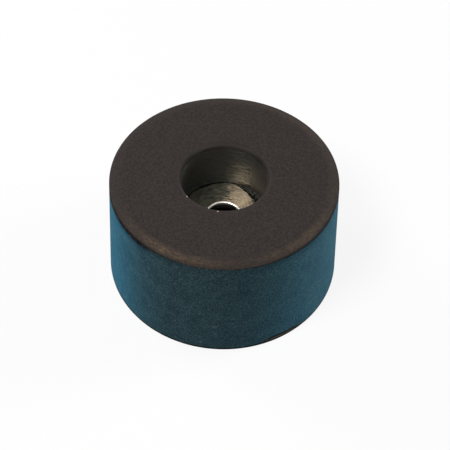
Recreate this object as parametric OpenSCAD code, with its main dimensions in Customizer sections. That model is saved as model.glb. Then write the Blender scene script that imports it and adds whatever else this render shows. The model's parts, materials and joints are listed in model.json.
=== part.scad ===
// Round rubber foot for the underside of a case or cabinet.
// A flat steel washer is moulded into it. The screw goes in through the recess,
// clamps the washer and pulls the wide mounting face against the case.
// It is modelled standing on its mounting face, with the tread and recess on top.

/* [Body] */
// Diameter of the mounting face
base_d = 38; // [32:1:60]
// Height from the mounting face to the tread
height = 20; // [16:1:40]
// How far the side leans in between the mounting face and the seam
side_lean = 1.25; // [0.5:0.25:3]
// Rounding of the edge round the mounting face
base_round = 0.3; // [0.1:0.1:1]
// Width of the crowned band between the flat tread and the seam
crown_w = 2.3; // [1:0.1:4]
// Drop of the crowned band from the tread to the seam
crown_drop = 0.45; // [0.2:0.05:0.9]

/* [Recess] */
// Diameter of the recess just below its rounded mouth
recess_d = 13.5; // [11:0.5:20]
// How much the recess widens on the way down, on the radius
recess_flare = 0.2; // [0:0.05:0.5]
// Depth from the tread to the washer
recess_depth = 9.5; // [5:0.5:13]
// Radius of the rounded mouth
mouth_round = 0.75; // [0.25:0.05:1.5]

/* [Washer] */
// Thickness of the washer
washer_t = 1.2; // [0.6:0.1:2]
// Diameter of the washer's screw hole
washer_hole_d = 5.3; // [3.2:0.1:6.4]
// How far the washer's rim is buried in the rubber
washer_grip = 0.55; // [0.3:0.05:3]
// Rounding of the hole's upper edge
washer_round = 0.25; // [0.05:0.05:0.4]
// Clearance between the washer's rim and its pocket
washer_gap = 0.05; // [0:0.01:0.1]
// How much wider the hole through the rubber is than the washer's, on the radius
screw_room = 0.35; // [0.1:0.05:1]

/* [Moulding flash] */
// Width of the flash crescent over the washer at its widest
flash_w = 1.1; // [0.4:0.1:2]
// Thickness of the flash
flash_t = 0.25; // [0.1:0.05:0.5]
// Direction of the widest place, from the X axis
flash_turn = 10; // [0:5:355]

/* [Hidden] */

base_r = base_d / 2;
seam_r = base_r - side_lean;
seam_z = height - crown_drop;
side_tilt = atan(side_lean / seam_z);

// The crown is an arc that leaves the flat tread level and ends at the seam.
tread_r = seam_r - crown_w;
crown_r = (crown_w * crown_w + crown_drop * crown_drop) / (2 * crown_drop);
crown_turn = acos(crown_w / crown_r);

recess_r = recess_d / 2;
recess_floor_r = recess_r + recess_flare;

washer_top = height - recess_depth;
washer_bottom = washer_top - washer_t;
washer_r = recess_floor_r + washer_grip;
washer_hole_r = washer_hole_d / 2;
pocket_r = washer_r + washer_gap;
screw_hole_r = washer_hole_r + screw_room;

// Depth to which the flash runs into the wall that carries it
flash_root = washer_grip / 2;

round_steps = 180;
arc_steps = 8;

function arc(centre, radius, from, to) =
    [for (i = [0:arc_steps])
        let (turn = from + (to - from) * i / arc_steps)
        centre + radius * [cos(turn), sin(turn)]];

module rubber_section() {
    base_edge = arc([base_r - base_round, base_round], base_round, -90, side_tilt);
    crown = arc([tread_r, height - crown_r], crown_r, crown_turn, 90);
    mouth = arc([recess_r + mouth_round, height - mouth_round], mouth_round, 90, 180);
    pocket = [
        [recess_floor_r, washer_top],
        [pocket_r, washer_top],
        [pocket_r, washer_bottom],
        [screw_hole_r, washer_bottom]
    ];
    polygon(concat([[screw_hole_r, 0]], base_edge, crown, mouth, pocket));
}

module washer_section() {
    hole_edge = arc([washer_hole_r + washer_round, washer_top - washer_round],
                    washer_round, 90, 180);
    rim = [
        [washer_hole_r, washer_bottom],
        [washer_r, washer_bottom],
        [washer_r, washer_top]
    ];
    polygon(concat(rim, hole_edge));
}

// Crescent between the recess wall and a circle set off centre
module flash() {
    translate([0, 0, washer_top])
        linear_extrude(flash_t)
            difference() {
                circle(recess_floor_r + flash_root, $fn = round_steps);
                rotate(flash_turn)
                    translate([-flash_w, 0])
                        circle(recess_floor_r, $fn = round_steps);
            }
}

module rubber_body() {
    color("#3a3634") {
        rotate_extrude($fn = round_steps) rubber_section();
        flash();
    }
}

module steel_washer() {
    color("#b3ada3")
        rotate_extrude($fn = round_steps) washer_section();
}

rubber_body();
steel_washer();
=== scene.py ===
import json
from math import acos, atan, atan2, cos, degrees, hypot, radians, sin

import bpy
from mathutils import Matrix, Vector, noise

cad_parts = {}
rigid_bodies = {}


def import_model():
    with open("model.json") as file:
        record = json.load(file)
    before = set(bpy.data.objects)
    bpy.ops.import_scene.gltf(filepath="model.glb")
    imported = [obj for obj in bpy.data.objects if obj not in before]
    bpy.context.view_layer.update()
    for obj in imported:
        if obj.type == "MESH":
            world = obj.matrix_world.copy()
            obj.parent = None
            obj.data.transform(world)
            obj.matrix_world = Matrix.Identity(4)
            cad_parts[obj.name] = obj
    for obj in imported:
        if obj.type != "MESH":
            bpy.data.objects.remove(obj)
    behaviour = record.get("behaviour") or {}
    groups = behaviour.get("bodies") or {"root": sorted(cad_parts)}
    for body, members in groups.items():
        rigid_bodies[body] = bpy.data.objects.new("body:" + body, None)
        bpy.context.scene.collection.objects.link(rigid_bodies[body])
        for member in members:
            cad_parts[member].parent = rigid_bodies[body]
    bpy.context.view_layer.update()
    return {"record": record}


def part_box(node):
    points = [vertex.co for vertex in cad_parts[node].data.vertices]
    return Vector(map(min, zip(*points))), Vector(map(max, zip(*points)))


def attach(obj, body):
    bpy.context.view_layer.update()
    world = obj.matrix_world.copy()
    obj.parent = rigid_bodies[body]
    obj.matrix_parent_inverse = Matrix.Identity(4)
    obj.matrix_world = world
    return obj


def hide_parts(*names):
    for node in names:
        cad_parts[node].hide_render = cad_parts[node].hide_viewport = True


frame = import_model()
mm = 0.001

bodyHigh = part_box("rubber_body")[1]
washerLow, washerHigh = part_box("steel_washer")
screwHoleMount = next(mount for mount in frame["record"]["mounts"] if mount["name"] == "screw_hole")

# Sizes in millimetres, as in all the dictionaries of shapes
roundingRoom = 0.0001  # rounding in a long row of extrusions mustn't pass the CAD's box
baseRadius = bodyHigh.x / mm
footHeight = bodyHigh.z / mm - roundingRoom
washerRadius = washerHigh.x / mm
washerTop = washerHigh.z / mm
washerBottom = washerLow.z / mm
washerHoleRadius = screwHoleMount["dims"]["r_mm"]
weldGap = 0.001  # points nearer than this are one
smoothAngle = radians(40)


# Rings of a turned shape, as pairs of radius and height
def arcRings(centreRadius, centreHeight, radius, startAngle, endAngle, steps):
    rings = []
    for step in range(steps + 1):
        angle = radians(startAngle + (endAngle - startAngle) * step / steps)
        rings.append((centreRadius + radius * cos(angle), centreHeight + radius * sin(angle)))
    return rings


# The rings between two that are already there
def straightRings(start, end, steps):
    rings = []
    for step in range(1, steps):
        share = step / steps
        rings.append((start[0] + (end[0] - start[0]) * share, start[1] + (end[1] - start[1]) * share))
    return rings


# A circle is added at the first ring and extruded from ring to ring until it closes on itself
def turnedPiece(name, rings, segments):
    bpy.ops.object.select_all(action="DESELECT")
    lastRadius, lastHeight = rings[0]
    bpy.ops.mesh.primitive_circle_add(
        vertices=segments, radius=lastRadius * mm, location=(0, 0, lastHeight * mm))
    piece = bpy.context.object
    piece.name = name
    piece.data.name = name
    bpy.ops.object.transform_apply(location=True, rotation=True, scale=True)
    bpy.ops.object.mode_set(mode="EDIT")
    bpy.ops.mesh.select_all(action="SELECT")
    for radius, height in rings[1:] + rings[:1]:
        rise = (height - lastHeight) * mm
        growth = radius / lastRadius
        bpy.ops.mesh.extrude_edges_move(TRANSFORM_OT_translate={"value": (0, 0, rise)})
        bpy.ops.transform.resize(value=(growth, growth, 1), center_override=(0, 0, 0))
        lastRadius, lastHeight = radius, height
    bpy.ops.mesh.select_all(action="SELECT")
    bpy.ops.mesh.remove_doubles(threshold=weldGap * mm)
    bpy.ops.mesh.normals_make_consistent(inside=False)
    bpy.ops.object.mode_set(mode="OBJECT")
    return piece


def setMaterials(piece, materials):
    piece.data.materials.clear()
    for material in materials:
        piece.data.materials.append(material)


# Rubber moulding
rubber = {
    "baseRound": 0.3,
    "sideLean": 1.25,
    "sideCloser": (0.05, 0.93),  # shares of the side's height below and above which its rings are closer
    "crownWidth": 2.3,
    "crownDrop": 0.45,
    "recessRadius": 6.75,
    "recessFlare": 0.2,
    "mouthRound": 0.75,
    "pocketGap": 0.05,
    "screwHoleRadius": 3.0,
    "grooveDepth": 0.07,  # the parting line's groove, under the crown
    "grooveHeight": 0.22,
    "grooveFoot": [(0.6, 0.03), (1.0, 0.09)],  # share of its depth, and height over the side's top
    "grooveHead": [(0.3, 0.07), (0.0, 0.03)],  # share of its depth, and distance under the crown
    "flashWidth": 1.1,
    "flashThick": 0.25,
    "flashRings": [(0.010, 0.23), (0.020, 0.08), (0.015, 0.0)],  # in from the wall, and over the washer
    "flashTurn": 10,  # degrees round to its middle
    "flashSpan": 64,  # degrees to each side
    "flashTaper": 3.7,  # a higher power keeps its width up for longer before the tips
    "flashOverhang": 0.6,  # how much less far its top reaches than its foot
    "flashRag": 0.22,  # how far its torn edge wanders
    "ragFull": 0.5,  # where it is narrower than this, it wanders less
    "ragWaves": [(9, 4.0, 1.0), (24, 9.0, 0.5)],  # fineness, place in the noise and share
    "segments": 288,
    "rings": {
        "baseRound": 7, "sideLow": 8, "side": 16, "sideHigh": 14, "crown": 12, "tread": 16, "mouth": 10,
        "wall": 24},
}

seamRadius = baseRadius - rubber["sideLean"]
seamLevel = footHeight - rubber["crownDrop"]
treadRadius = seamRadius - rubber["crownWidth"]
crownRadius = (rubber["crownWidth"] ** 2 + rubber["crownDrop"] ** 2) / (2 * rubber["crownDrop"])
crownStart = degrees(acos(rubber["crownWidth"] / crownRadius))
sideTilt = degrees(atan(rubber["sideLean"] / seamLevel))
recessFloorRadius = rubber["recessRadius"] + rubber["recessFlare"]
mouthRadius = rubber["recessRadius"] + rubber["mouthRound"]
mouthLevel = footHeight - rubber["mouthRound"]
flashTop = washerTop + rubber["flashThick"]


def grooveRings(sideTop):
    depth = rubber["grooveDepth"]
    foot = [(sideTop[0] - depth * share, sideTop[1] + rise) for share, rise in rubber["grooveFoot"]]
    head = [(seamRadius - depth * share, seamLevel - drop) for share, drop in rubber["grooveHead"]]
    return foot + head


def rubberRings():
    steps = rubber["rings"]
    baseRound = rubber["baseRound"]
    bottomEdge = arcRings(baseRadius - baseRound, baseRound, baseRound, -90, sideTilt, steps["baseRound"])
    sideFoot = bottomEdge[-1]
    grooveHeight = rubber["grooveHeight"]
    sideTop = (seamRadius + grooveHeight * sin(radians(sideTilt)), seamLevel - grooveHeight)
    sideLow, sideHigh = [
        Vector(sideFoot).lerp(Vector(sideTop), share).to_tuple() for share in rubber["sideCloser"]]
    crown = arcRings(treadRadius, footHeight - crownRadius, crownRadius, crownStart, 90, steps["crown"])
    tread = straightRings((treadRadius, footHeight), (mouthRadius, footHeight), steps["tread"])
    mouth = arcRings(mouthRadius, mouthLevel, rubber["mouthRound"], 90, 180, steps["mouth"])
    wallFoot = (recessFloorRadius, flashTop)
    wall = straightRings(mouth[-1], wallFoot, steps["wall"])
    film = [(recessFloorRadius - inset, washerTop + rise) for inset, rise in rubber["flashRings"]]
    pocketRadius = washerRadius + rubber["pocketGap"]
    pocket = [(pocketRadius, washerTop), (pocketRadius, washerBottom)]
    screwWay = [(rubber["screwHoleRadius"], washerBottom)]
    return (
        [(rubber["screwHoleRadius"], 0)]
        + bottomEdge
        + straightRings(sideFoot, sideLow, steps["sideLow"])
        + [sideLow]
        + straightRings(sideLow, sideHigh, steps["side"])
        + [sideHigh]
        + straightRings(sideHigh, sideTop, steps["sideHigh"])
        + [sideTop]
        + grooveRings(sideTop)
        + crown
        + tread
        + mouth
        + wall
        + [wallFoot]
        + film
        + pocket
        + screwWay
    )


# The flash is a thin crescent with a torn edge: its rings leave the wall and run over the washer
def tearFlash(piece):
    slack = 0.005  # a ring may be this far off its place
    for vertex in piece.data.vertices:
        radius = hypot(vertex.co.x, vertex.co.y) / mm
        level = vertex.co.z / mm
        offWall = radius < recessFloorRadius - slack
        if not (offWall and washerTop - slack < level < flashTop - slack):
            continue
        angle = atan2(vertex.co.y, vertex.co.x)
        turn = abs(degrees(angle) - rubber["flashTurn"])
        reach = rubber["flashWidth"] * max(0, 1 - (turn / rubber["flashSpan"]) ** rubber["flashTaper"])
        wander = 0
        for fineness, place, share in rubber["ragWaves"]:
            wander += share * noise.noise(Vector((cos(angle) * fineness, sin(angle) * fineness, place)))
        rag = rubber["flashRag"] * wander * min(1, reach / rubber["ragFull"])
        width = max(0.0, reach + rag)
        lift = (level - washerTop) / rubber["flashThick"]
        newRadius = radius - width * (1 - rubber["flashOverhang"] * lift ** 3)
        vertex.co.x *= newRadius / radius
        vertex.co.y *= newRadius / radius


rubberBody = turnedPiece("rubberBody", rubberRings(), rubber["segments"])
tearFlash(rubberBody)
bpy.ops.object.shade_smooth_by_angle(angle=smoothAngle)
print("rubber body:", len(rubberBody.data.polygons), "faces")


# Steel washer
washer = {
    "edgeRound": 0.25,  # the blanking punch rolls the hole's upper edge over
    "rimRound": 0.15,
    "segments": 288,
    "rings": {"rimRound": 4, "face": 14, "edgeRound": 10, "bore": 5},
}


def washerRings():
    steps = washer["rings"]
    edgeRound = washer["edgeRound"]
    rimRound = washer["rimRound"]
    rim = arcRings(washerRadius - rimRound, washerTop - rimRound, rimRound, 0, 90, steps["rimRound"])
    holeEdge = arcRings(
        washerHoleRadius + edgeRound, washerTop - edgeRound, edgeRound, 90, 180, steps["edgeRound"])
    face = straightRings(rim[-1], holeEdge[0], steps["face"])
    bore = straightRings(holeEdge[-1], (washerHoleRadius, washerBottom), steps["bore"])
    return [(washerHoleRadius, washerBottom), (washerRadius, washerBottom)] + rim + face + holeEdge + bore


steelWasher = turnedPiece("steelWasher", washerRings(), washer["segments"])
bpy.ops.object.shade_smooth_by_angle(angle=smoothAngle)
print("steel washer:", len(steelWasher.data.polygons), "faces")


# What changes round the foot, as stops of azimuth in degrees and a value, eased from one to the next
rubberMarks = {
    # Tan wear on the crown, strongest at the front left, is partly a painted highlight
    "crownWear": [
        (0, 0.1), (40, 0.25), (100, 0.1), (160, 0.0), (200, 0.05), (222, 0.35), (238, 1.0), (256, 0.65),
        (280, 0.2), (300, 0.35), (316, 0.6), (340, 0.2)],
    "seamDrop": [  # millimetres
        (180, 0.25), (198, 0.5), (226, 0.45), (240, 0.05), (300, 0.0), (330, 0.05), (360, 0.1)],
    # How dark the parting line's dirt and painted shade are
    "seamDark": [
        (0, 0.5), (60, 0.3), (120, 0.3), (180, 0.7), (200, 1.0), (226, 1.0), (240, 0.45), (262, 0.2),
        (285, 0.25), (305, 0.6), (330, 0.7), (345, 0.5)],
    "baseNick": [(0, 0.0), (287, 0.0), (296, 1.0), (306, 0.85), (315, 0.0)],
    "scratched": [(0, 0.1), (150, 0.2), (196, 1.0), (212, 0.9), (228, 0.2), (300, 0.15), (330, 0.3)],
    "specked": [
        (0, 0.3), (200, 0.9), (240, 0.7), (255, 1.0), (268, 1.0), (285, 0.5), (320, 0.6), (340, 0.3)],
}


def aroundValue(stops, angle):
    for index, (stopAngle, stopValue) in enumerate(stops):
        nextAngle, nextValue = stops[(index + 1) % len(stops)]
        span = (nextAngle - stopAngle) % 360
        share = ((angle - stopAngle) % 360) / span
        if share < 1:
            return stopValue + (nextValue - stopValue) * share * share * (3 - 2 * share)
    return stops[0][1]


def markAround(piece, name, stops):
    marks = piece.data.attributes.new(name, "FLOAT", "POINT")
    for index, vertex in enumerate(piece.data.vertices):
        marks.data[index].value = aroundValue(stops, degrees(atan2(vertex.co.y, vertex.co.x)) % 360)


for markName, markStops in rubberMarks.items():
    markAround(rubberBody, markName, markStops)


# Materials
smooth = {"interpolation_type": "SMOOTHSTEP"}
adding = {"operation": "ADD"}
subtracting = {"operation": "SUBTRACT"}
multiplying = {"operation": "MULTIPLY"}
dividing = {"operation": "DIVIDE"}
larger = {"operation": "MAXIMUM"}
unsigned = {"operation": "ABSOLUTE"}
colours = {"data_type": "RGBA"}
shading = {"data_type": "RGBA", "blend_type": "MULTIPLY"}


# Colours are written as sRGB hex, and the shaders take them as linear values
def linearHex(code):
    channels = [int(code[i:i + 2], 16) / 255 for i in (1, 3, 5)]
    return [c / 12.92 if c <= 0.04045 else ((c + 0.055) / 1.055) ** 2.4 for c in channels] + [1.0]


def addNode(tree, kind, settings, inputs):
    node = tree.nodes.new(kind)
    for name, value in settings.items():
        setattr(node, name, value)
    for name, value in inputs.items():
        if isinstance(value, bpy.types.NodeSocket):
            tree.links.new(value, node.inputs[name])
        else:
            node.inputs[name].default_value = value
    return node


def newMaterial(name):
    material = bpy.data.materials.new(name)
    material.use_nodes = True
    material.node_tree.nodes.clear()
    return material


# Where a point is on the foot, in millimetres, for the patterns that follow its shape
def footPlace(tree):
    texture = addNode(tree, "ShaderNodeTexCoord", {}, {})
    scaled = addNode(tree, "ShaderNodeMapping", {}, {
        "Vector": texture.outputs["Object"], "Scale": (1 / mm, 1 / mm, 1 / mm)})
    spot = scaled.outputs["Vector"]
    axes = addNode(tree, "ShaderNodeSeparateXYZ", {}, {"Vector": spot})
    flat = addNode(tree, "ShaderNodeCombineXYZ", {}, {"X": axes.outputs["X"], "Y": axes.outputs["Y"]})
    length = addNode(tree, "ShaderNodeVectorMath", {"operation": "LENGTH"}, {0: flat.outputs["Vector"]})
    compass = addNode(tree, "ShaderNodeVectorMath", {"operation": "NORMALIZE"}, {0: flat.outputs["Vector"]})
    return {
        "spot": spot,
        "across": axes.outputs["X"],
        "back": axes.outputs["Y"],
        "level": axes.outputs["Z"],
        "radius": length.outputs["Value"],
        "compass": compass.outputs["Vector"],
    }


# Turning, rubbing and drawing off a pin leave marks that are long round the axis and fine across it
def marksRound(tree, place, turns, distance, pitch, detail, roughness):
    longRound = addNode(tree, "ShaderNodeVectorMath", {"operation": "SCALE"}, {
        0: place["compass"], "Scale": turns})
    fine = addNode(tree, "ShaderNodeMath", dividing, {0: distance, 1: pitch})
    across = addNode(tree, "ShaderNodeCombineXYZ", {}, {"Z": fine.outputs["Value"]})
    both = addNode(tree, "ShaderNodeVectorMath", adding, {
        0: longRound.outputs["Vector"], 1: across.outputs["Vector"]})
    marks = addNode(tree, "ShaderNodeTexNoise", {}, {
        "Vector": both.outputs["Vector"], "Scale": 1.0, "Detail": detail, "Roughness": roughness})
    return marks.outputs["Fac"]


# Moulded nitrile rubber, black and matt from a sparked mould. The side's teal tone and its blue sheen at a
# glancing look are painted blue light, and the tread, which has rubbed against things, is a warm brown black
# whose warmth is painted warm light. Each pair is where a finish begins and where it is full, in millimetres
rubberLook = {
    # Dark rubber with painted blue light in its teal tones
    "side": "#28383A",
    "sideDeep": "#202C2E",
    # A blue sheen at a glancing look: painted blue light
    "bloom": "#1090BC",
    "bloomWeight": 0.55,
    "bloomRoughness": 0.36,
    # Warm brown blacks: the warmth is painted warm light on the black rubber
    "tread": "#24201F",
    "treadPale": "#322D2B",
    "crownWear": "#5F503F",
    # A paler ring on the round of the mouth: a painted highlight
    "mouthRing": "#4A4236",
    # Painted shade in the mouth, and painted light on its far side
    "mouth": "#211F1D",
    "mouthBack": "#383430",
    # Near black flash: painted shade; paler folds: painted highlights
    "flash": "#0B0C0B",
    "fold": "#4A4840",
    # Near black for the scratches, for the dirt and painted shade of the parting line, and for the painted
    # contact shade at the base
    "line": "#050606",
    "nick": "#3F3D38",
    "dust": "#A39A8C",
    # A chip of grit, then a painted glint, on the lip of the recess
    "grit": [(218, 7.1, 19.88), (263, 7.3, 19.97)],  # degrees round, then radius and height
    "gritTone": "#8F877A",
    "gritBorder": (0.17, 0.08),
    "roughness": 0.78,
    "ior": 1.5,
    "specular": 0.03,
    "grain": 0.3,  # millimetres; the real grain is finer and would not show
    "grainHeight": 0.06,
    "grainContrast": 0.5,
    "blotch": 2.6,
    "rubTurns": 24.0,
    "rubsPerMillimetre": 3.4,
    "specksPerMillimetre": 2.6,
    "speckStrength": 0.13,
    "scratchWay": (0.148, -0.317, -0.94),  # steeply down the left of the side
    "scratchSize": (6.0, 0.2, 0.2),
    "scratchStrength": 0.5,
    "sideTop": (0.02, 0.14),  # under the parting line
    "sideInner": (0.5, 0.4),  # in from the parting line
    "offBase": (0.02, 0.08),  # up from the mounting face
    "crownRise": (0.3, 1.4),  # out from the tread's edge
    "crownFall": (2.3, 1.6),
    "crownOuterShare": 0.25,
    "ringPlace": 0.38,  # in from the mouth's edge
    "ringBorder": (0.2, 0.03),
    "ringStrength": 0.15,
    "nearRecess": (0.6, 0.2),  # out from the mouth's edge
    "mouthBorder": (0.03, 0.34),  # under the tread
    "backBorder": (3.6, 6.9),  # back from the axis
    "foldLow": 0.12,  # over the washer
    "foldHigh": 0.04,  # under the flash's top
    "aboveFlash": (0.2, 1.0),
    "lineDrop": 0.11,  # from the crown's edge to the middle of the parting line
    "lineBorder": (0.85, 0.4),
    "shadeUnderLine": 1.8,
    "shadeStrength": 0.85,
    "baseEdge": (0.35, 0.2),  # in from the foot's widest
    "baseLine": (0.7, 0.42),  # up from the mounting face
    "nickHeight": 1.2,
    "nickBorder": (0.05, -0.08),
    "nickLine": (0.3, 0.12),
    "bloomUnderLine": 0.3,
    "bloomOverBase": 0.6,
    "bloomOverNick": 0.95,
}


# The places, patterns and masks that more than one finish of the rubber needs
def rubberPlace(tree):
    look = rubberLook
    place = footPlace(tree)
    for markName in rubberMarks:
        mark = addNode(tree, "ShaderNodeAttribute", {"attribute_name": markName}, {})
        place[markName] = mark.outputs["Fac"]
    grain = addNode(tree, "ShaderNodeTexNoise", {}, {
        "Vector": place["spot"], "Scale": 1 / look["grain"], "Detail": 2.0, "Roughness": 0.65})
    place["grain"] = grain.outputs["Fac"]
    place["rub"] = marksRound(
        tree, place, look["rubTurns"], place["radius"], 1 / look["rubsPerMillimetre"], 6.0, 0.85)

    # The side ends at the parting line, which sits lower on the left
    lifted = addNode(tree, "ShaderNodeMath", adding, {0: place["level"], 1: place["seamDrop"]})
    underSeam = addNode(tree, "ShaderNodeMapRange", smooth, {
        "Value": lifted.outputs["Value"], "From Min": seamLevel - look["sideTop"][0],
        "From Max": seamLevel - look["sideTop"][1]})
    outside = addNode(tree, "ShaderNodeMapRange", {}, {
        "Value": place["radius"], "From Min": seamRadius - look["sideInner"][0],
        "From Max": seamRadius - look["sideInner"][1]})
    offBase = addNode(tree, "ShaderNodeMapRange", {}, {
        "Value": place["level"], "From Min": look["offBase"][0], "From Max": look["offBase"][1]})
    outsideUp = addNode(tree, "ShaderNodeMath", multiplying, {
        0: outside.outputs["Result"], 1: offBase.outputs["Result"]})
    side = addNode(tree, "ShaderNodeMath", multiplying, {
        0: underSeam.outputs["Result"], 1: outsideUp.outputs["Value"]})
    place["lifted"] = lifted.outputs["Value"]
    place["offBase"] = offBase.outputs["Result"]
    place["side"] = side.outputs["Value"]
    return place


# The side's teal tone is painted blue light on the dark rubber, with blotches, grain and scratches of its own
def sideColour(tree, place):
    look = rubberLook
    blotch = addNode(tree, "ShaderNodeTexNoise", {}, {
        "Vector": place["spot"], "Scale": 1 / look["blotch"], "Detail": 4.0, "Roughness": 0.6})
    blotchShare = addNode(tree, "ShaderNodeMapRange", {}, {
        "Value": blotch.outputs["Fac"], "From Min": 0.32, "From Max": 0.68})
    tone = addNode(tree, "ShaderNodeMix", colours, {
        "Factor": blotchShare.outputs["Result"],
        "A": linearHex(look["sideDeep"]), "B": linearHex(look["side"])})
    shade = addNode(tree, "ShaderNodeMapRange", {}, {
        "Value": place["grain"], "From Min": 0.32, "From Max": 0.68,
        "To Min": 1 - look["grainContrast"], "To Max": 1 + look["grainContrast"]})
    grained = addNode(tree, "ShaderNodeMix", shading, {
        "Factor": 1.0, "A": tone.outputs["Result"], "B": shade.outputs["Result"]})
    scratchTurn = Vector(look["scratchWay"]).to_track_quat("X", "Z").to_euler()
    scratchPlace = addNode(tree, "ShaderNodeMapping", {"vector_type": "TEXTURE"}, {
        "Vector": place["spot"], "Rotation": scratchTurn, "Scale": look["scratchSize"]})
    scratchNoise = addNode(tree, "ShaderNodeTexNoise", {}, {
        "Vector": scratchPlace.outputs["Vector"], "Scale": 1.0, "Detail": 1.0})
    scratchLine = addNode(tree, "ShaderNodeMapRange", smooth, {
        "Value": scratchNoise.outputs["Fac"], "From Min": 0.5, "From Max": 0.62,
        "To Max": look["scratchStrength"]})
    scratches = addNode(tree, "ShaderNodeMath", multiplying, {
        0: scratchLine.outputs["Result"], 1: place["scratched"]})
    scratched = addNode(tree, "ShaderNodeMix", colours, {
        "Factor": scratches.outputs["Value"], "A": grained.outputs["Result"], "B": linearHex(look["line"])})
    return scratched.outputs["Result"]


# Tread, with its worn crown, partly a painted highlight, and a faint painted highlight ring on the mouth's
# round
def treadColour(tree, place):
    look = rubberLook
    grainShare = addNode(tree, "ShaderNodeMapRange", {}, {
        "Value": place["grain"], "From Min": 0.3, "From Max": 0.7})
    tone = addNode(tree, "ShaderNodeMix", colours, {
        "Factor": grainShare.outputs["Result"],
        "A": linearHex(look["tread"]), "B": linearHex(look["treadPale"])})
    rise = addNode(tree, "ShaderNodeMapRange", smooth, {
        "Value": place["radius"], "From Min": treadRadius + look["crownRise"][0],
        "From Max": treadRadius + look["crownRise"][1]})
    fall = addNode(tree, "ShaderNodeMapRange", smooth, {
        "Value": place["radius"], "From Min": treadRadius + look["crownFall"][0],
        "From Max": treadRadius + look["crownFall"][1], "To Min": look["crownOuterShare"]})
    band = addNode(tree, "ShaderNodeMath", multiplying, {
        0: rise.outputs["Result"], 1: fall.outputs["Result"]})
    rubShare = addNode(tree, "ShaderNodeMapRange", {}, {
        "Value": place["rub"], "From Min": 0.42, "From Max": 0.7, "To Min": 0.08})
    rubbed = addNode(tree, "ShaderNodeMath", multiplying, {
        0: rubShare.outputs["Result"], 1: place["offBase"]})
    bandRubbed = addNode(tree, "ShaderNodeMath", multiplying, {
        0: band.outputs["Value"], 1: rubbed.outputs["Value"]})
    wear = addNode(tree, "ShaderNodeMath", multiplying, {
        0: bandRubbed.outputs["Value"], 1: place["crownWear"]})
    worn = addNode(tree, "ShaderNodeMix", colours, {
        "Factor": wear.outputs["Value"], "A": tone.outputs["Result"], "B": linearHex(look["crownWear"])})
    # Painted highlight ring on the round of the mouth
    fromRing = addNode(tree, "ShaderNodeMath", subtracting, {
        0: place["radius"], 1: mouthRadius - look["ringPlace"]})
    ringGap = addNode(tree, "ShaderNodeMath", unsigned, {0: fromRing.outputs["Value"]})
    ringLine = addNode(tree, "ShaderNodeMapRange", smooth, {
        "Value": ringGap.outputs["Value"], "From Min": look["ringBorder"][0],
        "From Max": look["ringBorder"][1], "To Max": look["ringStrength"]})
    ring = addNode(tree, "ShaderNodeMath", multiplying, {
        0: ringLine.outputs["Result"], 1: rubbed.outputs["Value"]})
    ringed = addNode(tree, "ShaderNodeMix", colours, {
        "Factor": ring.outputs["Value"], "A": worn.outputs["Result"], "B": linearHex(look["mouthRing"])})
    return ringed.outputs["Result"]


# The torn flash over the washer is painted near black, painted shade over the gap under it, with painted
# highlights on the folds of its upper face
def flashShadedColour(tree, place):
    look = rubberLook
    foldShare = addNode(tree, "ShaderNodeMapRange", smooth, {
        "Value": place["grain"], "From Min": 0.48, "From Max": 0.6})
    onFlash = addNode(tree, "ShaderNodeMapRange", smooth, {
        "Value": place["level"], "From Min": washerTop + look["foldLow"],
        "From Max": flashTop - look["foldHigh"]})
    folds = addNode(tree, "ShaderNodeMath", multiplying, {
        0: foldShare.outputs["Result"], 1: onFlash.outputs["Result"]})
    folded = addNode(tree, "ShaderNodeMix", colours, {
        "Factor": folds.outputs["Value"], "A": linearHex(look["flash"]), "B": linearHex(look["fold"])})
    return folded.outputs["Result"]


# The mouth of the recess is painted darker than the tread, painted shade going into the recess, and paler at
# the back, painted light on its far side
def addMouth(tree, place, colour):
    look = rubberLook
    atBack = addNode(tree, "ShaderNodeMapRange", smooth, {
        "Value": place["back"], "From Min": look["backBorder"][0], "From Max": look["backBorder"][1]})
    tone = addNode(tree, "ShaderNodeMix", colours, {
        "Factor": atBack.outputs["Result"], "A": linearHex(look["mouth"]), "B": linearHex(look["mouthBack"])})
    aboveFlash = addNode(tree, "ShaderNodeMapRange", {}, {
        "Value": place["level"], "From Min": flashTop + look["aboveFlash"][0],
        "From Max": flashTop + look["aboveFlash"][1]})
    inner = addNode(tree, "ShaderNodeMix", colours, {
        "Factor": aboveFlash.outputs["Result"], "A": flashShadedColour(tree, place), "B": tone.outputs["Result"]})
    nearAxis = addNode(tree, "ShaderNodeMapRange", {}, {
        "Value": place["radius"], "From Min": mouthRadius + look["nearRecess"][0],
        "From Max": mouthRadius + look["nearRecess"][1]})
    nearAxisUp = addNode(tree, "ShaderNodeMath", multiplying, {
        0: nearAxis.outputs["Result"], 1: place["offBase"]})
    belowTread = addNode(tree, "ShaderNodeMapRange", smooth, {
        "Value": place["level"], "From Min": footHeight - look["mouthBorder"][0],
        "From Max": footHeight - look["mouthBorder"][1]})
    inMouth = addNode(tree, "ShaderNodeMath", multiplying, {
        0: nearAxisUp.outputs["Value"], 1: belowTread.outputs["Result"]})
    mouthed = addNode(tree, "ShaderNodeMix", colours, {
        "Factor": inMouth.outputs["Value"], "A": colour, "B": inner.outputs["Result"]})
    return mouthed.outputs["Result"]
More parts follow.
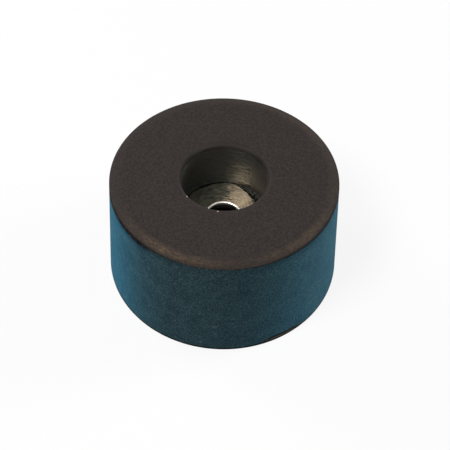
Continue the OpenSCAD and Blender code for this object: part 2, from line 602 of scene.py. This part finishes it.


# Dark parting line, partly dirt in its groove and partly painted shade, with a soft painted shade under it,
# both uneven
def addSeam(tree, place, colour):
    look = rubberLook
    fromSeam = addNode(tree, "ShaderNodeMath", subtracting, {
        0: place["lifted"], 1: seamLevel - look["lineDrop"]})
    rise = addNode(tree, "ShaderNodeMath", unsigned, {0: fromSeam.outputs["Value"]})
    inward = addNode(tree, "ShaderNodeMath", subtracting, {0: seamRadius, 1: place["radius"]})
    onCrown = addNode(tree, "ShaderNodeMath", larger, {0: inward.outputs["Value"], 1: 0.0})
    gap = addNode(tree, "ShaderNodeMath", adding, {0: rise.outputs["Value"], 1: onCrown.outputs["Value"]})
    gapForDark = addNode(tree, "ShaderNodeMath", dividing, {0: gap.outputs["Value"], 1: place["seamDark"]})
    line = addNode(tree, "ShaderNodeMapRange", smooth, {
        "Value": gapForDark.outputs["Value"], "From Min": look["lineBorder"][0],
        "From Max": look["lineBorder"][1]})
    shade = addNode(tree, "ShaderNodeMapRange", smooth, {
        "Value": fromSeam.outputs["Value"], "From Min": -look["shadeUnderLine"], "From Max": 0.0,
        "To Max": look["shadeStrength"]})
    sideShade = addNode(tree, "ShaderNodeMath", multiplying, {0: shade.outputs["Result"], 1: place["side"]})
    both = addNode(tree, "ShaderNodeMath", larger, {0: line.outputs["Result"], 1: sideShade.outputs["Value"]})
    ragged = addNode(tree, "ShaderNodeMapRange", {}, {
        "Value": place["rub"], "From Min": 0.3, "From Max": 0.55, "To Min": 0.4})
    dark = addNode(tree, "ShaderNodeMath", multiplying, {0: both.outputs["Value"], 1: place["seamDark"]})
    share = addNode(tree, "ShaderNodeMath", multiplying, {
        0: dark.outputs["Value"], 1: ragged.outputs["Result"]})
    seamed = addNode(tree, "ShaderNodeMix", colours, {
        "Factor": share.outputs["Value"], "A": colour, "B": linearHex(look["line"])})
    return seamed.outputs["Result"]


# A nick at the base's edge shows the bare brown rubber, with a dark line over it, and the edge is darkened by
# painted contact shade
def addBase(tree, place, colour):
    look = rubberLook
    nickTop = addNode(tree, "ShaderNodeMath", multiplying, {0: place["baseNick"], 1: look["nickHeight"]})
    overNick = addNode(tree, "ShaderNodeMath", subtracting, {0: place["level"], 1: nickTop.outputs["Value"]})
    onEdge = addNode(tree, "ShaderNodeMapRange", {}, {
        "Value": place["radius"], "From Min": baseRadius - look["baseEdge"][0],
        "From Max": baseRadius - look["baseEdge"][1]})
    nickFace = addNode(tree, "ShaderNodeMapRange", smooth, {
        "Value": overNick.outputs["Value"], "From Min": look["nickBorder"][0],
        "From Max": look["nickBorder"][1], "To Max": onEdge.outputs["Result"]})
    nicked = addNode(tree, "ShaderNodeMix", colours, {
        "Factor": nickFace.outputs["Result"], "A": colour, "B": linearHex(look["nick"])})
    nickGap = addNode(tree, "ShaderNodeMath", unsigned, {0: overNick.outputs["Value"]})
    nickLine = addNode(tree, "ShaderNodeMapRange", smooth, {
        "Value": nickGap.outputs["Value"], "From Min": look["nickLine"][0], "From Max": look["nickLine"][1]})
    nickShare = addNode(tree, "ShaderNodeMath", multiplying, {
        0: nickLine.outputs["Result"], 1: place["baseNick"]})
    # Painted contact shade along the base's edge
    baseLine = addNode(tree, "ShaderNodeMapRange", smooth, {
        "Value": place["level"], "From Min": look["baseLine"][0], "From Max": look["baseLine"][1],
        "To Max": onEdge.outputs["Result"]})
    dirt = addNode(tree, "ShaderNodeMath", larger, {
        0: nickShare.outputs["Value"], 1: baseLine.outputs["Result"]})
    edged = addNode(tree, "ShaderNodeMix", colours, {
        "Factor": dirt.outputs["Value"], "A": nicked.outputs["Result"], "B": linearHex(look["line"])})
    return edged.outputs["Result"]


# Pale specks of dust on the side, thickest at the front, and on the lip of the recess a chip of grit and a
# painted glint
def addDust(tree, place, colour):
    look = rubberLook
    speckNoise = addNode(tree, "ShaderNodeTexNoise", {}, {
        "Vector": place["spot"], "Scale": look["specksPerMillimetre"], "Detail": 0.0})
    speck = addNode(tree, "ShaderNodeMapRange", smooth, {
        "Value": speckNoise.outputs["Fac"], "From Min": 0.72, "From Max": 0.86,
        "To Max": look["speckStrength"]})
    sideSpeck = addNode(tree, "ShaderNodeMath", multiplying, {0: speck.outputs["Result"], 1: place["side"]})
    specks = addNode(tree, "ShaderNodeMath", multiplying, {
        0: sideSpeck.outputs["Value"], 1: place["specked"]})
    dustAndLight = addNode(tree, "ShaderNodeMix", colours, {
        "Factor": specks.outputs["Value"], "A": colour, "B": linearHex(look["dust"])})
    for turn, out, up in look["grit"]:
        chip = Vector((out * cos(radians(turn)), out * sin(radians(turn)), up))
        gap = addNode(tree, "ShaderNodeVectorMath", {"operation": "DISTANCE"}, {0: place["spot"], 1: chip})
        share = addNode(tree, "ShaderNodeMapRange", {}, {
            "Value": gap.outputs["Value"],
            "From Min": look["gritBorder"][0], "From Max": look["gritBorder"][1]})
        dustAndLight = addNode(tree, "ShaderNodeMix", colours, {
            "Factor": share.outputs["Result"],
            "A": dustAndLight.outputs["Result"], "B": linearHex(look["gritTone"])})
    return dustAndLight.outputs["Result"]


def mouldedRubber(name, bloomWeight):
    look = rubberLook
    material = newMaterial(name)
    tree = material.node_tree
    place = rubberPlace(tree)
    top = addMouth(tree, place, treadColour(tree, place))
    outer = addNode(tree, "ShaderNodeMix", colours, {
        "Factor": place["side"], "A": top, "B": sideColour(tree, place)})
    seamed = addSeam(tree, place, outer.outputs["Result"])
    colour = addDust(tree, place, addBase(tree, place, seamed))
    bump = addNode(tree, "ShaderNodeBump", {}, {
        "Strength": 0.6, "Distance": look["grainHeight"] * mm, "Height": place["grain"]})
    shader = addNode(tree, "ShaderNodeBsdfPrincipled", {}, {
        "Base Color": colour,
        "Roughness": look["roughness"],
        "IOR": look["ior"],
        "Specular IOR Level": look["specular"],
        "Sheen Weight": bloomWeight,
        "Sheen Roughness": look["bloomRoughness"],
        "Sheen Tint": linearHex(look["bloom"]),
        "Normal": bump.outputs["Normal"],
    })
    addNode(tree, "ShaderNodeOutputMaterial", {}, {"Surface": shader.outputs["BSDF"]})
    return material


# Rubber drawn off a turned core pin: darker and glossier than the outside, with the pin's fine rings. Each
# pair is where a finish begins and where it is full, in millimetres
recessLook = {
    "wall": "#131617",
    "wallDusty": "#2E3736",
    # Paler on the side that the light misses: painted light
    "wallWarm": "#1F1B17",
    # Black at the wall's foot: painted shade
    "foot": "#080909",
    "streakTurn": 69,  # degrees round to where the wall is polished most
    "streakCore": 4,
    "streakSpan": 25,
    "streakTop": 17.0,
    "streakFade": 3.0,
    "roughness": 0.08,
    "dullRoughness": 0.38,
    "ior": 1.52,
    "specular": 0.9,
    "ringTurns": 4.0,
    "ringPitch": 0.4,  # millimetres between the pin's marks, drawn coarser than they are
    "ringHeight": 0.2,
    "dustAcross": (1.0, -5.0),  # to the right of the axis
    "dustLevel": (16.5, 13.0),  # up from the mounting face
    "footBorder": (0.14, 0.03),  # over the flash
    "wallRoom": 0.15,  # out from the wall, for the faces that it takes in
    "wallUnderMouth": 0.2,
}


def coredRubber():
    look = recessLook
    material = newMaterial("coredRubber")
    tree = material.node_tree
    place = footPlace(tree)
    pinMarks = marksRound(tree, place, look["ringTurns"], place["level"], look["ringPitch"], 3.0, 0.6)
    ringShare = addNode(tree, "ShaderNodeMapRange", {}, {
        "Value": pinMarks, "From Min": 0.35, "From Max": 0.7})
    tone = addNode(tree, "ShaderNodeMix", colours, {
        "Factor": ringShare.outputs["Result"],
        "A": linearHex(look["wall"]), "B": linearHex(look["wallWarm"])})

    # The side that the light misses is painted paler: painted light
    leftward = addNode(tree, "ShaderNodeMapRange", smooth, {
        "Value": place["across"], "From Min": look["dustAcross"][0], "From Max": look["dustAcross"][1]})
    lowDown = addNode(tree, "ShaderNodeMapRange", smooth, {
        "Value": place["level"], "From Min": look["dustLevel"][0], "From Max": look["dustLevel"][1]})
    inShade = addNode(tree, "ShaderNodeMath", multiplying, {
        0: leftward.outputs["Result"], 1: lowDown.outputs["Result"]})
    dustAndLight = addNode(tree, "ShaderNodeMix", colours, {
        "Factor": inShade.outputs["Value"], "A": tone.outputs["Result"], "B": linearHex(look["wallDusty"])})

    # Where the wall meets the flash it is painted black: painted shade in the undercut
    atFoot = addNode(tree, "ShaderNodeMapRange", smooth, {
        "Value": place["level"], "From Min": flashTop + look["footBorder"][0],
        "From Max": flashTop + look["footBorder"][1]})
    footShaded = addNode(tree, "ShaderNodeMix", colours, {
        "Factor": atFoot.outputs["Result"], "A": dustAndLight.outputs["Result"], "B": linearHex(look["foot"])})

    # The core pin has left a polished band up the wall, and the rest of it is duller
    streakWay = (cos(radians(look["streakTurn"])), sin(radians(look["streakTurn"])), 0)
    towardsStreak = addNode(tree, "ShaderNodeVectorMath", {"operation": "DOT_PRODUCT"}, {
        0: place["compass"], 1: streakWay})
    dull = addNode(tree, "ShaderNodeMapRange", smooth, {
        "Value": towardsStreak.outputs["Value"], "From Min": cos(radians(look["streakCore"])),
        "From Max": cos(radians(look["streakSpan"]))})
    high = addNode(tree, "ShaderNodeMapRange", smooth, {
        "Value": place["level"], "From Min": look["streakTop"] - look["streakFade"],
        "From Max": look["streakTop"]})
    dullOrHigh = addNode(tree, "ShaderNodeMath", larger, {
        0: dull.outputs["Result"], 1: high.outputs["Result"]})
    roughWall = addNode(tree, "ShaderNodeMapRange", {}, {
        "Value": dullOrHigh.outputs["Value"], "To Min": look["roughness"], "To Max": look["dullRoughness"]})
    roughness = addNode(tree, "ShaderNodeMix", {}, {
        "Factor": atFoot.outputs["Result"], "A": roughWall.outputs["Result"], "B": 1.0})
    bump = addNode(tree, "ShaderNodeBump", {}, {
        "Strength": 1.0, "Distance": look["ringHeight"] * mm, "Height": pinMarks})
    shader = addNode(tree, "ShaderNodeBsdfPrincipled", {}, {
        "Base Color": footShaded.outputs["Result"],
        "Roughness": roughness.outputs["Result"],
        "IOR": look["ior"],
        "Specular IOR Level": look["specular"],
        "Normal": bump.outputs["Normal"],
    })
    addNode(tree, "ShaderNodeOutputMaterial", {}, {"Surface": shader.outputs["BSDF"]})
    return material


# The painted blue sheen's weight is the same all over a material, so the part of the side that has it is a
# material of its own
rubberFinishes = {
    "plain": mouldedRubber("mouldedRubber", 0.0),
    "bloomed": mouldedRubber("bloomedRubber", rubberLook["bloomWeight"]),
    "cored": coredRubber(),
}


# The painted blue sheen stops short of the parting line and of the base, and the core pin's finish short of
# the mouth
def finishOf(face):
    radius = hypot(face.center.x, face.center.y) / mm
    level = face.center.z / mm
    angle = degrees(atan2(face.center.y, face.center.x)) % 360
    lineLevel = seamLevel - rubberLook["lineDrop"] - aroundValue(rubberMarks["seamDrop"], angle)
    blueSheenTop = lineLevel - rubberLook["bloomUnderLine"] * aroundValue(rubberMarks["seamDark"], angle)
    nickRise = rubberLook["bloomOverNick"] * aroundValue(rubberMarks["baseNick"], angle)
    blueSheenBottom = rubberLook["bloomOverBase"] + nickRise
    if radius > seamRadius and blueSheenBottom < level < blueSheenTop:
        return "bloomed"
    wallTop = mouthLevel - recessLook["wallUnderMouth"]
    if radius < recessFloorRadius + recessLook["wallRoom"] and flashTop < level < wallTop:
        return "cored"
    return "plain"


setMaterials(rubberBody, rubberFinishes.values())
finishOrder = list(rubberFinishes)
for rubberFace in rubberBody.data.polygons:
    rubberFace.material_index = finishOrder.index(finishOf(rubberFace))
print("rubber finished")


# Blanked mild steel strip, fine scratched all over, so it spreads the light that falls down the recess: dirty
# and darkened with painted shade on the left, and polished where the screw's head and the punch have rolled
# the hole's edge. Each pair is where a finish begins and where it is full, in millimetres, but for the first
# two
steelLook = {
    "metal": "#C4B296",
    # Dirt, also painted shade on the left of the washer
    "dirt": "#54574D",
    "edge": "#E6DED3",
    # Dark bore: painted shade down the hole
    "scale": "#2A2B28",
    "roughness": 0.6,
    "roughnessSwing": (-0.32, 0.18),  # in the scratches and between them
    "scratchShade": (0.3, 1.22),  # the darkest and the brightest of the metal
    "edgeRoughness": 0.42,
    "scratchTurns": 5.0,
    "scratch": 0.16,  # millimetres across, drawn wider than the real ones
    "scratchHeight": 0.05,
    "blotch": 1.25,
    "blotchWeight": 1.6,
    "dirtLean": -0.45,  # the dirt's border runs askew
    "dirtAcross": (1.4, -4.2),  # to the right of the axis
    "dirtRight": (3.0, 5.2),
    "dirtRightShare": 0.55,
    "dirtStrength": 0.9,
    "edgeBand": (0.12, -0.02),  # out from the round of the hole's edge
    "scaleDepth": 0.3,
}


# Dirt with painted shade lies thickest to the left, thins out past the middle and comes back at the right
def washerDirtAndShade(tree, place):
    look = steelLook
    blotch = addNode(tree, "ShaderNodeTexNoise", {}, {
        "Vector": place["spot"], "Scale": 1 / look["blotch"], "Detail": 5.0, "Roughness": 0.7})
    askew = addNode(tree, "ShaderNodeMath", {"operation": "MULTIPLY_ADD"}, {
        0: place["back"], 1: look["dirtLean"], 2: place["across"]})
    leftward = addNode(tree, "ShaderNodeMapRange", smooth, {
        "Value": askew.outputs["Value"],
        "From Min": look["dirtAcross"][0], "From Max": look["dirtAcross"][1]})
    rightward = addNode(tree, "ShaderNodeMapRange", smooth, {
        "Value": place["across"], "From Min": look["dirtRight"][0], "From Max": look["dirtRight"][1],
        "To Max": look["dirtRightShare"]})
    sideways = addNode(tree, "ShaderNodeMath", larger, {
        0: leftward.outputs["Result"], 1: rightward.outputs["Result"]})
    uneven = addNode(tree, "ShaderNodeMath", {"operation": "MULTIPLY_ADD"}, {
        0: blotch.outputs["Fac"], 1: look["blotchWeight"], 2: sideways.outputs["Value"]})
    dirt = addNode(tree, "ShaderNodeMapRange", smooth, {
        "Value": uneven.outputs["Value"], "From Min": 0.8, "From Max": 1.7, "To Max": look["dirtStrength"]})
    return dirt.outputs["Result"]


def blankedSteel():
    look = steelLook
    material = newMaterial("blankedSteel")
    tree = material.node_tree
    place = footPlace(tree)
    scratches = marksRound(tree, place, look["scratchTurns"], place["radius"], look["scratch"], 3.0, 0.6)
    streak = addNode(tree, "ShaderNodeMapRange", {}, {
        "Value": scratches, "From Min": 0.35, "From Max": 0.65,
        "To Min": look["scratchShade"][0], "To Max": look["scratchShade"][1]})
    metal = addNode(tree, "ShaderNodeMix", shading, {
        "Factor": 1.0, "A": linearHex(look["metal"]), "B": streak.outputs["Result"]})
    dirtyAndShaded = addNode(tree, "ShaderNodeMix", colours, {
        "Factor": washerDirtAndShade(tree, place), "A": metal.outputs["Result"], "B": linearHex(look["dirt"])})
    edgeOuter = washerHoleRadius + washer["edgeRound"]
    atEdge = addNode(tree, "ShaderNodeMapRange", smooth, {
        "Value": place["radius"], "From Min": edgeOuter + look["edgeBand"][0],
        "From Max": edgeOuter + look["edgeBand"][1]})
    edged = addNode(tree, "ShaderNodeMix", colours, {
        "Factor": atEdge.outputs["Result"], "A": dirtyAndShaded.outputs["Result"], "B": linearHex(look["edge"])})
    # The bore is painted dark: painted shade down the hole
    boreTop = washerTop - washer["edgeRound"]
    inBore = addNode(tree, "ShaderNodeMapRange", smooth, {
        "Value": place["level"], "From Min": boreTop, "From Max": boreTop - look["scaleDepth"]})
    bored = addNode(tree, "ShaderNodeMix", colours, {
        "Factor": inBore.outputs["Result"], "A": edged.outputs["Result"], "B": linearHex(look["scale"])})
    uneven = addNode(tree, "ShaderNodeMapRange", {}, {
        "Value": scratches, "From Min": 0.42, "From Max": 0.6,
        "To Min": look["roughness"] + look["roughnessSwing"][0],
        "To Max": look["roughness"] + look["roughnessSwing"][1]})
    roughness = addNode(tree, "ShaderNodeMix", {}, {
        "Factor": atEdge.outputs["Result"], "A": uneven.outputs["Result"], "B": look["edgeRoughness"]})
    bump = addNode(tree, "ShaderNodeBump", {}, {
        "Strength": 0.6, "Distance": look["scratchHeight"] * mm, "Height": scratches})
    shader = addNode(tree, "ShaderNodeBsdfPrincipled", {}, {
        "Base Color": bored.outputs["Result"],
        "Metallic": 1.0,
        "Roughness": roughness.outputs["Result"],
        "Normal": bump.outputs["Normal"],
    })
    addNode(tree, "ShaderNodeOutputMaterial", {}, {"Surface": shader.outputs["BSDF"]})
    return material


setMaterials(steelWasher, [blankedSteel()])
print("steel finished")

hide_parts("rubber_body")
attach(rubberBody, "root")
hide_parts("steel_washer")
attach(steelWasher, "root")
print("pieces in the frame")


# Floor and studio
studio = {
    "floorSize": 3.0,  # metres
    "backdropRadius": 1.4,
    "backdropHeight": 0.45,
    "backdropSides": 96,
    "floorGrey": "#C8C8C8",
    "floorShadow": 0.14,  # share of the shown floor that takes light and shadow
    "worldStrength": 0.1,
}


# 1 for the rays that show the backdrop, to the eye or in a reflection, and 0 for those that light the foot
def showingRays(tree):
    rays = addNode(tree, "ShaderNodeLightPath", {}, {})
    eyeOrGloss = addNode(tree, "ShaderNodeMath", larger, {
        0: rays.outputs["Is Camera Ray"], 1: rays.outputs["Is Glossy Ray"]})
    showing = addNode(tree, "ShaderNodeMath", larger, {
        0: eyeOrGloss.outputs["Value"], 1: rays.outputs["Is Transmission Ray"]})
    return showing.outputs["Value"]


# Paper that is shown nearly white, while its real grey is what lights the foot
def sweepPaper():
    material = newMaterial("sweepPaper")
    tree = material.node_tree
    paper = addNode(tree, "ShaderNodeBsdfDiffuse", {}, {"Color": linearHex(studio["floorGrey"])})
    glow = addNode(tree, "ShaderNodeEmission", {}, {"Color": (1, 1, 1, 1), "Strength": 1.0})
    shown = addNode(tree, "ShaderNodeMixShader", {}, {
        "Fac": 1 - studio["floorShadow"], 1: paper.outputs["BSDF"], 2: glow.outputs["Emission"]})
    surface = addNode(tree, "ShaderNodeMixShader", {}, {
        "Fac": showingRays(tree), 1: paper.outputs["BSDF"], 2: shown.outputs["Shader"]})
    addNode(tree, "ShaderNodeOutputMaterial", {}, {"Surface": surface.outputs["Shader"]})
    return material


bpy.ops.object.select_all(action="DESELECT")
bpy.ops.mesh.primitive_plane_add(size=studio["floorSize"], location=(0, 0, 0))
floor = bpy.context.object
floor.name = "studioFloor"
setMaterials(floor, [sweepPaper()])

bpy.ops.object.select_all(action="DESELECT")
bpy.ops.mesh.primitive_cylinder_add(
    vertices=studio["backdropSides"], radius=studio["backdropRadius"], depth=studio["backdropHeight"],
    location=(0, 0, studio["backdropHeight"] / 2), end_fill_type="NOTHING")
backdrop = bpy.context.object
backdrop.name = "studioBackdrop"
setMaterials(backdrop, [sweepPaper()])

world = bpy.data.worlds.new("studioWorld")
bpy.context.scene.world = world
world.use_nodes = True
worldTree = world.node_tree
worldTree.nodes.clear()
worldLevel = addNode(worldTree, "ShaderNodeMapRange", {}, {
    "Value": showingRays(worldTree), "To Min": studio["worldStrength"], "To Max": 1.0})
worldGlow = addNode(worldTree, "ShaderNodeBackground", {}, {
    "Color": (1, 1, 1, 1), "Strength": worldLevel.outputs["Result"]})
addNode(worldTree, "ShaderNodeOutputWorld", {}, {"Surface": worldGlow.outputs["Background"]})

# Each lamp: azimuth and elevation in degrees as seen from the foot, distance and width in metres, watts
lamps = {
    "keyLamp": {"azimuth": 217, "elevation": 56, "distance": 0.5, "width": 0.16, "power": 2.6},
    "topLamp": {"azimuth": 180, "elevation": 85, "distance": 0.6, "width": 0.6, "power": 0.4},
    "leftLamp": {"azimuth": 145, "elevation": 12, "distance": 0.5, "width": 0.25, "power": 3.3},
    "rightLamp": {"azimuth": 18, "elevation": 12, "distance": 0.5, "width": 0.25, "power": 4.6},
}
aim = Vector((0, 0, footHeight * mm / 2))
for lampName, lamp in lamps.items():
    light = bpy.data.lights.new(lampName, "AREA")
    light.size = lamp["width"]
    light.energy = lamp["power"]
    holder = bpy.data.objects.new(lampName, light)
    bpy.context.scene.collection.objects.link(holder)
    azimuth = radians(lamp["azimuth"])
    elevation = radians(lamp["elevation"])
    direction = Vector((cos(azimuth) * cos(elevation), sin(azimuth) * cos(elevation), sin(elevation)))
    holder.location = aim + direction * lamp["distance"]
    holder.rotation_euler = direction.to_track_quat("Z", "Y").to_euler()
print("floor and lamps set")


# Camera, from the foot's outline in the photograph: degrees, and millimetres
view = {
    "elevation": 50.18,
    "distance": 152.2,
    "lens": 75.0,
    "sensorWidth": 36,
    "nearest": 5,
    "pan": 0.10,
    "tilt": 0.488,
    "roll": -1.277,
}
lookDown = Matrix.Rotation(radians(90 - view["elevation"]), 3, "X")
turned = (
    Matrix.Rotation(radians(view["roll"]), 3, "Z")
    @ Matrix.Rotation(radians(view["tilt"]), 3, "X")
    @ Matrix.Rotation(radians(view["pan"]), 3, "Y")
)
camera = bpy.data.objects.new("photoCamera", bpy.data.cameras.new("photoCamera"))
bpy.context.scene.collection.objects.link(camera)
camera.data.lens = view["lens"]
camera.data.sensor_width = view["sensorWidth"]
camera.data.clip_start = view["nearest"] * mm
lookUp = radians(view["elevation"])
camera.location = aim + Vector((0, -cos(lookUp), sin(lookUp))) * view["distance"] * mm
camera.rotation_euler = (lookDown @ turned.transposed()).to_euler()
bpy.context.scene.camera = camera
bpy.context.scene.view_settings.view_transform = "Standard"

print("camera set")
